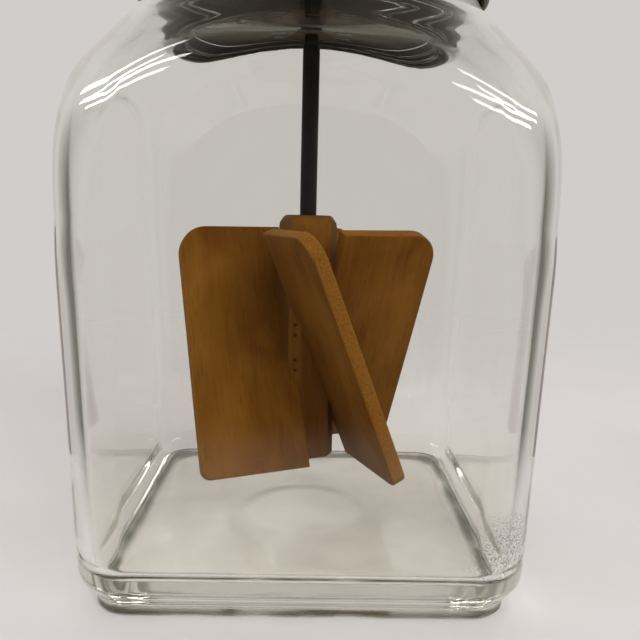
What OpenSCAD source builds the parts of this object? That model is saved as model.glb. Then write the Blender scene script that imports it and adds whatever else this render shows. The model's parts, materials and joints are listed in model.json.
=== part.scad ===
// Glass jar butter churn: a square glass jar with a screw lid, a cranked gear head and a wooden dasher.
// Millimetres, +Z up. The origin is the centre of the jar's underside, and the crank faces -Y.

/* [Jar] */
// Outer width of the jar, carried down to the table
jar_w = 150; // [140:1:170]
// Outer corner radius at the table
corner_r = 18.4; // [16:0.2:24]
// Outward lean of each side wall, in degrees
side_lean = 2.1; // [1:0.1:3]
// Thickness of the glass walls
glass_t = 5; // [4:0.5:6]
// Thickness of the glass floor
floor_t = 11.6; // [9:0.2:14]
// Fillet between the floor and the inside walls
floor_fillet = 6; // [4:0.5:7]
// Height of the upright foot under the heel
foot_h = 4; // [3:0.5:6]
// How far the foot stands in from the walls
foot_inset = 5.5; // [4:0.5:7]
// Height of the rounded heel above the foot
heel_h = 9; // [6:0.5:12]
// Radius of the ring-shaped mould mark under the floor
mould_ring_r = 26; // [20:1:34]
// Height at which the shoulder begins to curve in
shoulder_z = 129; // [120:1:140]
// Radius of the shoulder's curve
shoulder_r = 80; // [70:1:84]
// Angle through which the shoulder curves before it runs straight
shoulder_turn = 44; // [40:1:50]
// Outer radius of the neck
neck_r = 61.3; // [60:0.1:64]
// Height of the neck, from the shoulder to the rim
neck_h = 24; // [21:0.5:30]
// Pitch of the screw thread
thread_pitch = 6.4; // [6:0.1:7]
// Turns of thread on the neck
thread_turns = 1.2; // [1:0.05:1.3]
// Height of the glass thread above the neck
thread_h = 1.5; // [1.2:0.1:1.8]

/* [Lid] */
// Thickness of the sheet metal
lid_t = 0.8; // [0.6:0.1:1.2]
// Inside bend radius between the top and the skirt
lid_bend = 2.5; // [2:0.1:3]
// Gap between the lid's rolled edge and the shoulder
lid_gap = 2.7; // [2:0.1:4]
// Clearance between the glass thread and the skirt
lid_clear = 0.7; // [0.5:0.1:1]
// Radius of the rolled edge
lid_bead_r = 1.05; // [0.9:0.05:1.3]
// Thickness of the rubber seal
seal_t = 2; // [1.5:0.1:3]
// Radius of the strainer disc
strainer_r = 11.5; // [10:0.5:12]
// Radius of each strainer hole
strainer_hole_r = 1; // [0.8:0.1:1.2]

/* [Frame] */
// Radius of the flange that stands on the lid
flange_r = 30; // [29:0.5:31]
// Thickness of the flange
flange_t = 5; // [4:0.5:7]
// Height of the lower bearing above the flange
boss_h = 5; // [4:0.5:8]
// Radius of the lower and upper shaft bearings
boss_r = 7.5; // [6.5:0.5:8]
// Distance from the middle to the inside of each upright
upright_gap = 17; // [15:0.5:18]
// Width of each upright, seen from the front
upright_w = 8; // [6:0.5:9]
// Depth of the uprights and bars, front to back
frame_d = 10; // [8:0.5:11]
// Height of each crossbar
bar_h = 8; // [7:0.5:10]
// Radius of the axle bearing
axle_boss_r = 8; // [7:0.5:9]
// Radius of the frame screws' shanks
screw_r = 2; // [1.5:0.1:2.2]
// Distance of the frame screws from the middle
screw_circle_r = 23; // [21:0.5:25]

/* [Gears] */
// Tooth module: pitch diameter divided by the number of teeth
gear_module = 1.75; // [1.6:0.05:1.85]
// Teeth on the drive wheel
wheel_teeth = 40; // [38:2:42]
// Teeth on the pinion
pinion_teeth = 10; // [10:2:12]
// Length of the drive wheel's teeth, along their radius
wheel_tooth_w = 7; // [6:0.5:8]
// Length of the pinion's teeth
pinion_w = 10; // [9:0.5:12]
// Height of the pinion's pinned hub
pinion_hub_h = 6; // [5:0.5:8]
// Thickness of the drive wheel's rim and spokes
wheel_t = 4.5; // [4:0.5:6]
// Number of spokes
spokes = 5; // [4:1:6]

/* [Crank and grip] */
// Radius of the wheel's axle
axle_r = 4; // [3:0.1:4.5]
// Distance from the axle to the crank's knob
crank_r = 58; // [54:1:62]
// Width of the crank arm
crank_w = 11; // [9:0.5:13]
// Thickness of the crank arm
crank_t = 5; // [4:0.5:6]
// Gap between the hanging crank and the lid
crank_gap = 6; // [5:0.5:9]
// Radius of the pin that carries the knob
crank_pin_r = 3; // [2.5:0.1:3.5]
// Length of the wooden knob
knob_l = 46; // [40:1:54]
// Largest diameter of the wooden knob
knob_d = 25; // [22:0.5:28]
// Height of the wooden grip on top
grip_h = 42; // [36:1:50]
// Largest diameter of the wooden grip
grip_d = 44; // [38:1:50]
// Radius of the stud through the grip
stud_r = 3.5; // [3:0.1:4]

/* [Dasher] */
// Diameter of the dasher's shaft
shaft_d = 6.5; // [6:0.1:7]
// Height of the middle of the dasher above the table
dasher_z = 79; // [76:1:86]
// Turn of the first blade about the shaft, in degrees
blade_turn = 23.3; // [0:0.1:45]
// Lean of each blade, like a propeller's pitch, in degrees
blade_lean = 22.4; // [18:0.2:26]
// Length of each blade, up and down along its lean
blade_h = 98; // [90:1:102]
// Reach of each blade from the middle of the shaft
blade_reach = 48; // [44:0.5:49]
// Thickness of each blade
blade_t = 5.5; // [4.5:0.5:6]
// Radius of each blade's upper outer corner
blade_top_r = 11; // [6:0.5:14]
// Radius of each blade's lower outer corner
blade_low_r = 4; // [2:0.5:8]
// Width of the wooden hub across its flats
hub_w = 20; // [19:0.5:23]
// Width taken off each corner of the hub
hub_chamfer = 4; // [3:0.5:4.5]
// Length of the hub
hub_h = 97; // [92:1:104]
// Depth of the slots that hold the blades
slot_depth = 4; // [3:0.2:4.4]

/* [Fits] */
// Radial clearance of a shaft that turns in its bearing
run_clear = 0.05; // [0.02:0.01:0.08]
// Clearance between pieces that are fixed together
seat_clear = 0.03; // [0.01:0.01:0.05]
// End play beside a turning piece
end_play = 0.4; // [0.3:0.05:0.6]

/* [Hidden] */
$fn = 96;

// Colours, as the pieces look
glass_color = [0.82, 0.88, 0.85, 0.4];
tin_color = "#a4a59f";
iron_color = "#26272a";
steel_color = "#85868a";
brass_color = "#9c8650";
wood_color = "#8a5a2b";
grip_color = "#7a3f22";
rubber_color = "#3b3a38";

// Allowances: cut overlap, free gap, step back from an edge, and a threaded end past its nut
over = 1;
free_gap = 0.3;
edge_back = 0.5;
end_proud = 1.5;
nut_width = 1.8;

// Jar: the body's corner circles keep their centres, and their radius grows with height
corner_c = jar_w / 2 - corner_r;
heel_top = foot_h + heel_h;
foot_edge = 1;
foot_r = corner_r - foot_inset;
arc_steps = 8;
shoulder_steps = 14;
shoulder_proud = 0.6;
rim_round = 2;
mould_ring_w = 1.6;
mould_ring_depth = 0.6;

function body_r(z) = corner_r + z * tan(side_lean);
function inner_r(z) = body_r(z) - glass_t;

// Shoulder: an arc about the jar's axis that meets the corners, then a straight slope up to the neck
corner_reach = sqrt(2) * corner_c + body_r(shoulder_z);
dome_c = corner_reach + shoulder_proud - shoulder_r;
bore_r = neck_r - glass_t;

function dome_point(inset, a) = [
    dome_c + (shoulder_r - inset) * cos(a),
    shoulder_z + (shoulder_r - inset) * sin(a)
];
function dome_arc(inset) = [
    for (i = [0 : shoulder_steps]) dome_point(inset, shoulder_turn * i / shoulder_steps)
];
function slope_z(r, inset) =
    dome_point(inset, shoulder_turn)[1]
    + (dome_point(inset, shoulder_turn)[0] - r) / tan(shoulder_turn);

neck_z = slope_z(neck_r, 0);
rim_z = neck_z + neck_h;
neck_cut = neck_z + 1;

// Thread: the glass ridge and the lid's ridge share one pitch, half a pitch apart
thread_steps = 48;
thread_w = 2.4;
thread_crest_w = 1.2;
thread_sink = 0.4;
thread_low = 7;
lid_thread_turns = 0.6;

// Lid
lid_low = neck_z + lid_gap;
lid_under = rim_z + seal_t;
lid_top = lid_under + lid_t;
skirt_in = neck_r + thread_h + lid_clear;
skirt_out = skirt_in + lid_t;
lid_out = skirt_in + 2 * lid_bead_r;
lid_hole_r = boss_r;
seal_in = bore_r + edge_back;
seal_out = skirt_in - lid_bend - free_gap;
strainer_t = 0.8;
strainer_rim = 2.5;
strainer_y = (flange_r + skirt_in - lid_bend) / 2;
strainer_pitch = 3.2 * strainer_hole_r;

// Dasher shaft and what it carries above the lid, from the lid upwards
shaft_r = shaft_d / 2;
flange_top = lid_top + flange_t;
boss_top = flange_top + boss_h;
washer_t = 1;
washer_top = boss_top + washer_t;
thrust_gap = 0.1;
pinion_z = washer_top + thrust_gap;
pinion_hub_z = pinion_z + pinion_w;
pinion_top = pinion_hub_z + pinion_hub_h;
bar_z = pinion_top + end_play;
shaft_top = bar_z + bar_h + end_proud;

// Gears: the wheel turns about the Y axis, and its lowest teeth mesh with the pinion's front teeth
wheel_r = gear_module * wheel_teeth / 2;
pinion_r = gear_module * pinion_teeth / 2;
tooth_pitch = PI * gear_module;
tooth_rise = 0.9 * gear_module;
tooth_drop = 1.2 * gear_module;
tooth_half = 0.165 * tooth_pitch;
tooth_flank = 22;
tooth_sink = 0.5;
pinion_tip_half = 0.45;
pinion_hub_r = pinion_r - tooth_drop - free_gap;
tip_front = pinion_r - tooth_rise;
root_front = pinion_r + tooth_drop;
wheel_front = root_front + wheel_t;
wheel_edge = 1;
wheel_in = wheel_r - wheel_tooth_w / 2 - wheel_edge;
wheel_out = wheel_r + wheel_tooth_w / 2 + wheel_edge;
axle_z = pinion_z + pinion_w / 2 + wheel_r;
hub_wall = 5;
wheel_hub_r = axle_r + hub_wall;
wheel_hub_proud = 4;
wheel_hub_front = wheel_front + wheel_hub_proud;
spoke_w = 7;

// Frame: an arch of two uprights above the flange
axle_boss_proud = 1.5;
axle_boss_tail = 4;
axle_boss_front = tip_front + axle_boss_proud;
axle_boss_back = frame_d / 2 + axle_boss_tail;
wheel_hub_back = axle_boss_front + end_play;
grip_gap = 3;
grip_z = axle_z + wheel_out + grip_gap;
stud_boss_h = 7;
arch_top = grip_z - stud_boss_h;
arch_out = upright_gap + upright_w;
arch_z = arch_top - arch_out;
arch_lap = 0.1;
stud_boss_gap = 1;
stud_boss_r = tip_front - stud_boss_gap;
gusset_foot = flange_r - end_proud;
gusset_h = 16;
gusset_t = 5;
head_r = 2 * screw_r;
head_h = 1.3 * screw_r;
nut_h = 1.6 * screw_r;
nut_r = 2 * screw_r;

// Axle and crank, measured forward from the frame's middle
axle_nut_h = 5;
axle_nut_r = nut_width * axle_r;
axle_back = axle_boss_back + end_play + washer_t + axle_nut_h;
crank_back = wheel_hub_front + seat_clear;
crank_front = crank_back + crank_t;
crank_nut_h = 5;
axle_front = crank_front + crank_nut_h + end_proud;
crank_out = lid_out + crank_gap;
crank_eye_r = axle_r + hub_wall;
pin_eye_wall = 4.5;
pin_eye_r = crank_pin_r + pin_eye_wall;
crank_bend = 15;
crank_tail = 13;
knob_back = crank_out + crank_t + washer_t + end_play;
knob_front = knob_back + knob_l;
knob_wall = 4;
knob_end_r = crank_pin_r + knob_wall;
knob_lean = 1.3;
pin_head_h = 2;
pin_head_r = crank_pin_r + pin_head_h;
pin_front = knob_front + end_play + pin_head_h;

// Grip
turned_steps = 24;
turned_fullness = 0.75;
grip_wall = 6;
grip_end_r = stud_r + grip_wall;
grip_top = grip_z + grip_h;
grip_washer_r = grip_end_r - edge_back;
grip_nut_h = 5;
stud_top = grip_top + washer_t + grip_nut_h + end_proud;

// Dasher
hub_low = dasher_z - blade_h / 2 * cos(blade_lean) - edge_back;
hub_top = hub_low + hub_h;
hub_ease = 2.5;
blade_in = hub_w / 2 - slot_depth;
shaft_foot = 8;
shaft_low = hub_low + shaft_foot;
hub_pin_drop = 14;
hub_pin_z = hub_top - hub_pin_drop;
hub_pin_r = 1.5;
pinion_pin_r = 1.2;
nail_r = 0.6;
nail_proud = 0.6;
nail_x = blade_in + slot_depth / 2;
nail_z = 7;
nail_stagger = 2;
hub_diagonal = (hub_w - hub_chamfer) / sqrt(2);

// Points of an arc about a centre
function arc(centre, r, from, to, steps) = [
    for (i = [0 : steps])
        let (a = from + (to - from) * i / steps)
        [centre[0] + r * cos(a), centre[1] + r * sin(a)]
];

// Turned outline: ends of one radius that swell to another; a larger lean moves the fullest part along
function swell(end_r, full_r, length, lean) = [
    for (i = [0 : turned_steps])
        let (u = i / turned_steps, bulge = max(sin(180 * pow(u, lean)), 0))
        [end_r + (full_r - end_r) * pow(bulge, turned_fullness), length * u]
];

// Outline of a bent bar: its centre line set off to both sides, with mitred bends
function unit(v) = v / norm(v);
function left_of(v) = [-v[1], v[0]];
function bar_side(path, half) = [
    for (i = [0 : len(path) - 1])
        let (
            before = unit(path[max(i, 1)] - path[max(i, 1) - 1]),
            after = unit(path[min(i + 1, len(path) - 1)] - path[min(i, len(path) - 2)]),
            mitre = unit(left_of(before) + left_of(after))
        )
        path[i] + mitre * half / (mitre * left_of(before))
];
function reversed(list) = [for (i = [len(list) - 1 : -1 : 0]) list[i]];

// Round-cornered square solid; each profile point is a corner radius and a height, from the bottom up
module square_loft(profile) {
    low = profile[0][1];
    high = profile[len(profile) - 1][1];
    post = concat([[0, low]], profile, [[0, high]]);
    right = [for (p = profile) [corner_c + p[0], p[1]]];
    left = [for (p = reversed(profile)) [-corner_c - p[0], p[1]]];
    for (x = [-corner_c, corner_c], y = [-corner_c, corner_c])
        translate([x, y, 0])
            rotate_extrude() polygon(post);
    for (turn = [0, 90])
        rotate([90, 0, turn])
            linear_extrude(2 * corner_c, center = true) polygon(concat(right, left));
}

// Screw ridge that climbs about the Z axis, from its root radius to its crest radius
module screw_ridge(root, crest, turns, low) {
    count = ceil(turns * thread_steps);
    section = [
        [root, -thread_w / 2], [crest, -thread_crest_w / 2],
        [crest, thread_crest_w / 2], [root, thread_w / 2]
    ];
    points = [
        for (i = [0 : count], p = section)
            let (a = 360 * turns * i / count)
            [p[0] * cos(a), p[0] * sin(a), low + p[1] + thread_pitch * turns * i / count]
    ];
    sides = [
        for (i = [0 : count - 1], k = [0 : 3])
            let (a = 4 * i + k, b = 4 * i + (k + 1) % 4)
            each [[a, b, b + 4], [a, b + 4, a + 4]]
    ];
    ends = [[0, 2, 1], [0, 3, 2], 4 * count * [1, 1, 1] + [0, 1, 2], 4 * count * [1, 1, 1] + [0, 2, 3]];
    faces = concat(sides, ends);
    polyhedron(points, crest > root ? faces : [for (f = faces) reversed(f)]);
}

// Sends local +Z forward, along -Y, from the axle's height
module forward(from, z = axle_z) {
    translate([0, -from, z])
        rotate([90, 0, 0]) children();
}

module ring(r_out, r_in, h) {
    difference() {
        cylinder(r = r_out, h = h);
        translate([0, 0, -over]) cylinder(r = r_in, h = h + 2 * over);
    }
}

module hex_nut(r, bore, h) {
    difference() {
        cylinder(r = r, h = h, $fn = 6);
        translate([0, 0, -over]) cylinder(r = bore, h = h + 2 * over);
    }
}

module screw_places() {
    for (a = [45 : 90 : 315])
        rotate([0, 0, a]) translate([screw_circle_r, 0, 0]) children();
}

module blade_frame(i) {
    rotate([0, 0, blade_turn + 90 * (i - 1)])
        translate([0, 0, dasher_z])
            rotate([blade_lean, 0, 0]) children();
}

// One blade as a flat board in its own plane, grown by a clearance for the slots
module blade_board(grow = 0) {
    half = blade_h / 2;
    outline = concat(
        [[blade_in - grow, -half], [blade_reach - blade_low_r, -half]],
        arc([blade_reach - blade_low_r, blade_low_r - half], blade_low_r, -90, 0, arc_steps),
        arc([blade_reach - blade_top_r, half - blade_top_r], blade_top_r, 0, 90, arc_steps),
        [[blade_in - grow, half]]
    );
    rotate([90, 0, 0])
        linear_extrude(blade_t + 2 * grow, center = true) polygon(outline);
}

// Level nails through the hub and one blade's root; every second blade's nails sit higher, to pass the rest
module nails_of(i, grow = 0) {
    reach = hub_w - hub_chamfer - nail_x + nail_proud;
    step = i % 2 == 0 ? nail_stagger : -nail_stagger;
    rotate([0, 0, blade_turn + 90 * (i - 1)])
        for (z = [-nail_z, nail_z])
            translate([nail_x, 0, dasher_z + z + step])
                rotate([90, 0, 0]) cylinder(r = nail_r + grow, h = 2 * reach, center = true, $fn = 24);
}

module jar_outside() {
    profile = concat(
        [[foot_r - foot_edge, 0], [foot_r, foot_edge], [foot_r, foot_h]],
        [
            for (i = [1 : arc_steps])
                let (a = 90 * i / arc_steps)
                [foot_r + (body_r(heel_top) - foot_r) * sin(a), foot_h + heel_h * (1 - cos(a))]
        ],
        [[body_r(rim_z + over), rim_z + over]]
    );
    dome = concat(
        [[0, -over], [dome_point(0, 0)[0], -over]],
        dome_arc(0),
        [[neck_r, neck_z]],
        arc([neck_r - rim_round, rim_z - rim_round], rim_round, 0, 90, arc_steps),
        [[0, rim_z]]
    );
    intersection() {
        square_loft(profile);
        rotate_extrude() polygon(dome);
    }
}

module jar_inside() {
    top = rim_z + 2 * over;
    floor_r = inner_r(floor_t + floor_fillet) - floor_fillet;
    profile = concat(
        arc([floor_r, floor_t + floor_fillet], floor_fillet, -90, 0, arc_steps),
        [[inner_r(top), top]]
    );
    dome = concat(
        [[0, 0], [dome_point(glass_t, 0)[0], 0]],
        dome_arc(glass_t),
        [[bore_r, slope_z(bore_r, glass_t)], [bore_r, top], [0, top]]
    );
    intersection() {
        square_loft(profile);
        rotate_extrude() polygon(dome);
    }
}

module jar_glass() {
    difference() {
        jar_outside();
        jar_inside();
        translate([0, 0, -over])
            ring(mould_ring_r + mould_ring_w, mould_ring_r, over + mould_ring_depth);
    }
}

// The glass is one piece; it is drawn in three lengths that meet face to face
module jar_length(low, high) {
    intersection() {
        jar_glass();
        translate([-jar_w, -jar_w, low]) cube([2 * jar_w, 2 * jar_w, high - low]);
    }
}

module jar() {
    color(glass_color) jar_length(-over, shoulder_z);
}

module jar_shoulder() {
    color(glass_color) jar_length(shoulder_z, neck_cut);
}

module jar_neck() {
    color(glass_color)
        union() {
            jar_length(neck_cut, rim_z + over);
            screw_ridge(neck_r - thread_sink, neck_r + thread_h, thread_turns, neck_z + thread_low);
        }
}

module seal_ring() {
    color(rubber_color)
        translate([0, 0, rim_z]) ring(seal_out, seal_in, seal_t);
}

module lid() {
    bend_z = lid_under - lid_bend;
    shell = concat(
        [[lid_hole_r, lid_under]],
        arc([skirt_in - lid_bend, bend_z], lid_bend, 90, 0, arc_steps),
        [[skirt_in, lid_low + lid_bead_r], [skirt_out, lid_low + lid_bead_r]],
        arc([skirt_in - lid_bend, bend_z], lid_bend + lid_t, 0, 90, arc_steps),
        [[lid_hole_r, lid_top]]
    );
    thread_z = neck_z + thread_low - thread_pitch / 2;
    color(tin_color)
        difference() {
            union() {
                rotate_extrude() polygon(shell);
                rotate_extrude()
                    translate([skirt_in + lid_bead_r, lid_low + lid_bead_r]) circle(r = lid_bead_r, $fn = 32);
                screw_ridge(skirt_in + thread_sink, neck_r + lid_clear, lid_thread_turns, thread_z);
            }
            screw_places()
                translate([0, 0, lid_under - over]) cylinder(r = screw_r + seat_clear, h = lid_t + 2 * over);
            translate([0, strainer_y, lid_under - over])
                cylinder(r = strainer_r - strainer_rim, h = lid_t + 2 * over);
        }
}

module strainer_screen() {
    rows = floor((strainer_r - strainer_rim - strainer_hole_r) / strainer_pitch);
    color(tin_color)
        translate([0, strainer_y, lid_top])
            difference() {
                cylinder(r = strainer_r, h = strainer_t);
                for (row = [0 : rows], i = [0 : max(6 * row - 1, 0)])
                    rotate([0, 0, 60 * i / max(row, 1)])
                        translate([row * strainer_pitch, 0, -over])
                            cylinder(r = strainer_hole_r, h = strainer_t + 2 * over, $fn = 20);
            }
}

module frame_arch() {
    for (side = [-1, 1])
        translate([side * (upright_gap + upright_w / 2), 0, (flange_top + arch_z) / 2])
            cube([upright_w, frame_d, arch_z - flange_top + 2 * arch_lap], center = true);
    difference() {
        forward(-frame_d / 2, arch_z) cylinder(r = arch_out, h = frame_d);
        forward(-frame_d / 2 - over, arch_z) cylinder(r = upright_gap, h = frame_d + 2 * over);
        translate([-arch_out - over, -frame_d, arch_z - arch_out - over])
            cube([2 * (arch_out + over), 2 * frame_d, arch_out + over]);
    }
    for (z = [bar_z, axle_z - bar_h / 2])
        translate([-upright_gap - over, -frame_d / 2, z])
            cube([2 * (upright_gap + over), frame_d, bar_h]);
}

module frame_gussets() {
    for (side = [0, 180])
        rotate([90, 0, side])
            linear_extrude(gusset_t, center = true)
                polygon([
                    [arch_out - over, flange_top - over], [gusset_foot, flange_top - over],
                    [gusset_foot, flange_top], [arch_out, flange_top + gusset_h],
                    [arch_out - over, flange_top + gusset_h]
                ]);
}

module gear_frame() {
    bearing_r = shaft_r + run_clear;
    color(iron_color)
        difference() {
            union() {
                translate([0, 0, lid_top]) cylinder(r = flange_r, h = flange_t);
                translate([0, 0, lid_top]) cylinder(r = boss_r, h = boss_top - lid_top);
                translate([0, 0, bar_z]) cylinder(r = boss_r, h = bar_h);
                frame_arch();
                frame_gussets();
                forward(-axle_boss_back) cylinder(r = axle_boss_r, h = axle_boss_back + axle_boss_front);
                translate([0, 0, arch_top - upright_w / 2])
                    cylinder(r = stud_boss_r, h = grip_z - arch_top + upright_w / 2);
            }
            translate([0, 0, lid_top - over]) cylinder(r = bearing_r, h = shaft_top - lid_top + 2 * over);
            forward(-axle_boss_back - over)
                cylinder(r = axle_r + run_clear, h = axle_boss_back + axle_boss_front + 2 * over);
            translate([0, 0, arch_z]) cylinder(r = stud_r + seat_clear, h = grip_z - arch_z + over);
            screw_places()
                translate([0, 0, lid_top - over]) cylinder(r = screw_r + seat_clear, h = flange_t + 2 * over);
        }
}

module frame_screws() {
    slot_w = screw_r / 2;
    color(steel_color)
        screw_places() {
            translate([0, 0, lid_under - nut_h - over])
                cylinder(r = screw_r, h = flange_top - lid_under + nut_h + 2 * over);
            translate([0, 0, flange_top])
                difference() {
                    cylinder(r = head_r, h = head_h);
                    translate([-head_r - over, -slot_w / 2, head_h / 2])
                        cube([2 * (head_r + over), slot_w, head_h]);
                }
        }
}

module frame_nuts() {
    color(steel_color)
        screw_places()
            translate([0, 0, lid_under - nut_h]) hex_nut(nut_r, screw_r + seat_clear, nut_h);
}

module thrust_washer() {
    color(brass_color)
        translate([0, 0, boss_top]) ring(boss_r - edge_back, shaft_r + run_clear, washer_t);
}

module grip_stud() {
    color(steel_color)
        translate([0, 0, arch_top - upright_w + edge_back])
            cylinder(r = stud_r, h = stud_top - arch_top + upright_w - edge_back);
}

module top_grip() {
    outline = swell(grip_end_r, grip_d / 2, grip_h, 1);
    color(grip_color)
        translate([0, 0, grip_z])
            difference() {
                rotate_extrude() polygon(concat([[0, 0]], outline, [[0, grip_h]]));
                translate([0, 0, -over]) cylinder(r = stud_r + seat_clear, h = grip_h + 2 * over);
            }
}

module grip_washer() {
    color(steel_color)
        translate([0, 0, grip_top]) ring(grip_washer_r, stud_r + seat_clear, washer_t);
}

module grip_nut() {
    color(steel_color)
        translate([0, 0, grip_top + washer_t]) hex_nut(nut_width * stud_r, stud_r + seat_clear, grip_nut_h);
}

module wheel_teeth_ring() {
    root = root_front + tooth_sink;
    root_half = tooth_half + (tooth_drop + tooth_sink) * tan(tooth_flank);
    tip_half = tooth_half - tooth_rise * tan(tooth_flank);
    outline = [[-root_half, root], [-tip_half, tip_front], [tip_half, tip_front], [root_half, root]];
    for (i = [0 : wheel_teeth - 1])
        rotate([0, 0, -90 + 360 * (i + 0.5) / wheel_teeth])
            translate([wheel_in + wheel_edge, 0, 0])
                rotate([90, 0, 90]) linear_extrude(wheel_tooth_w) polygon(outline);
}

module drive_wheel() {
    color(iron_color)
        forward(0)
            difference() {
                union() {
                    translate([0, 0, root_front]) ring(wheel_out, wheel_in, wheel_t);
                    wheel_teeth_ring();
                    for (i = [0 : spokes - 1])
                        rotate([0, 0, 90 + 360 * i / spokes])
                            translate([0, -spoke_w / 2, root_front + edge_back])
                                cube([wheel_in + edge_back, spoke_w, wheel_t - 2 * edge_back]);
                    translate([0, 0, wheel_hub_back])
                        cylinder(r = wheel_hub_r, h = wheel_hub_front - wheel_hub_back);
                }
                cylinder(r = axle_r + seat_clear, h = wheel_hub_front + over);
            }
}

module wheel_axle() {
    color(steel_color)
        forward(-axle_back - end_proud) cylinder(r = axle_r, h = axle_back + end_proud + axle_front);
}

module axle_washer() {
    color(steel_color)
        forward(-axle_boss_back - end_play - washer_t)
            ring(axle_boss_r - edge_back, axle_r + seat_clear, washer_t);
}

module axle_nut() {
    color(steel_color)
        forward(-axle_back) hex_nut(axle_nut_r, axle_r + seat_clear, axle_nut_h);
}

// The crank hangs straight down: its bar runs out over the lid's edge and then down beside it
module crank_arm() {
    middle = crank_back + crank_t / 2;
    outer = crank_out + crank_t / 2;
    path = [
        [-middle, 0], [-middle, -crank_bend], [-outer, crank_tail - crank_r], [-outer, -crank_r]
    ];
    outline = concat(bar_side(path, crank_t / 2), reversed(bar_side(path, -crank_t / 2)));
    color(iron_color)
        difference() {
            union() {
                translate([0, 0, axle_z])
                    rotate([90, 0, 90]) linear_extrude(crank_w, center = true) polygon(outline);
                forward(crank_back) cylinder(r = crank_eye_r, h = crank_t);
                forward(crank_out, axle_z - crank_r) cylinder(r = pin_eye_r, h = crank_t);
            }
            forward(crank_back - over) cylinder(r = axle_r + seat_clear, h = crank_t + 2 * over);
            forward(crank_out - over, axle_z - crank_r)
                cylinder(r = crank_pin_r + seat_clear, h = crank_t + 2 * over);
        }
}

module crank_nut() {
    color(steel_color)
        forward(crank_front) hex_nut(axle_nut_r, axle_r + seat_clear, crank_nut_h);
}

module crank_pin() {
    color(steel_color) {
        forward(crank_out, axle_z - crank_r) cylinder(r = crank_pin_r, h = pin_front - crank_out);
        forward(pin_front - pin_head_h, axle_z - crank_r) cylinder(r = pin_head_r, h = pin_head_h);
    }
}

module knob_washer() {
    color(steel_color)
        forward(crank_out + crank_t, axle_z - crank_r)
            ring(pin_eye_r - edge_back, crank_pin_r + seat_clear, washer_t);
}

module crank_knob() {
    outline = swell(knob_end_r, knob_d / 2, knob_l, knob_lean);
    color(grip_color)
        forward(knob_back, axle_z - crank_r)
            difference() {
                rotate_extrude() polygon(concat([[0, 0]], outline, [[0, knob_l]]));
                translate([0, 0, -over]) cylinder(r = crank_pin_r + run_clear, h = knob_l + 2 * over);
            }
}

module pinion_teeth_outline() {
    root_r = pinion_r - tooth_drop;
    tip_r = pinion_r + tooth_rise;
    root_half = tooth_half + (pinion_r - root_r) * (tooth_half - pinion_tip_half) / tooth_rise;
    circle(r = root_r);
    for (i = [0 : pinion_teeth - 1])
        rotate(-90 + 360 * i / pinion_teeth)
            polygon([
                [0, -root_half], [root_r, -root_half], [tip_r, -pinion_tip_half],
                [tip_r, pinion_tip_half], [root_r, root_half], [0, root_half]
            ]);
}

module pinion() {
    color(iron_color)
        difference() {
            union() {
                translate([0, 0, pinion_z]) linear_extrude(pinion_w) pinion_teeth_outline();
                translate([0, 0, pinion_z]) cylinder(r = pinion_hub_r, h = pinion_top - pinion_z);
            }
            translate([0, 0, pinion_z - over])
                cylinder(r = shaft_r + seat_clear, h = pinion_top - pinion_z + 2 * over);
            pinion_cross_hole(seat_clear);
        }
}

module pinion_cross_hole(grow) {
    translate([0, 0, (pinion_hub_z + pinion_top) / 2])
        rotate([0, 90, 0])
            cylinder(r = pinion_pin_r + grow, h = 2 * pinion_hub_r + (grow > 0 ? over : 0), center = true);
}

module pinion_pin() {
    color(steel_color) pinion_cross_hole(0);
}

module hub_cross_hole(grow) {
    translate([0, 0, hub_pin_z])
        rotate([0, 90, blade_turn + 45])
            cylinder(r = hub_pin_r + grow, h = 2 * hub_diagonal + (grow > 0 ? over : 0), center = true);
}

module dasher_shaft() {
    color(iron_color)
        difference() {
            translate([0, 0, shaft_low]) cylinder(r = shaft_r, h = shaft_top - shaft_low);
            pinion_cross_hole(seat_clear);
            hub_cross_hole(seat_clear);
        }
}

module dasher_hub() {
    flat = hub_w / 2;
    cut = flat - hub_chamfer;
    outline = [
        [flat, -cut], [flat, cut], [cut, flat], [-cut, flat],
        [-flat, cut], [-flat, -cut], [-cut, -flat], [cut, -flat]
    ];
    color(wood_color)
        difference() {
            intersection() {
                translate([0, 0, hub_low])
                    rotate([0, 0, blade_turn]) linear_extrude(hub_h) polygon(outline);
                translate([0, 0, hub_low])
                    rotate_extrude()
                        polygon([
                            [0, 0], [hub_w, 0], [hub_w, hub_h - hub_ease - hub_w + flat],
                            [flat - hub_ease, hub_h], [0, hub_h]
                        ]);
            }
            for (i = [1 : 4]) {
                blade_frame(i) blade_board(seat_clear);
                nails_of(i, seat_clear);
            }
            translate([0, 0, shaft_low - seat_clear]) cylinder(r = shaft_r + seat_clear, h = hub_h);
            hub_cross_hole(seat_clear);
        }
}

module hub_pin() {
    color(steel_color) hub_cross_hole(0);
}

module dasher_blade(i) {
    color(wood_color)
        difference() {
            blade_frame(i) blade_board();
            nails_of(i, seat_clear);
        }
}

module blade_nails() {
    color(steel_color)
        for (i = [1 : 4]) nails_of(i);
}

jar();
jar_shoulder();
jar_neck();
seal_ring();
lid();
strainer_screen();
gear_frame();
frame_screws();
frame_nuts();
thrust_washer();
grip_stud();
top_grip();
grip_washer();
grip_nut();
drive_wheel();
wheel_axle();
axle_washer();
axle_nut();
crank_arm();
crank_nut();
crank_pin();
knob_washer();
crank_knob();
pinion();
pinion_pin();
dasher_shaft();
dasher_hub();
hub_pin();
dasher_blade(1);  // dasher_blade_1
dasher_blade(2);  // dasher_blade_2
dasher_blade(3);  // dasher_blade_3
dasher_blade(4);  // dasher_blade_4
blade_nails();
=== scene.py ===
"""Glass jar butter churn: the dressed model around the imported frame. Metres, +Z up, crank towards -Y."""
import json
import math

import bmesh
import bpy
from mathutils import Matrix, Vector, noise


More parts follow.
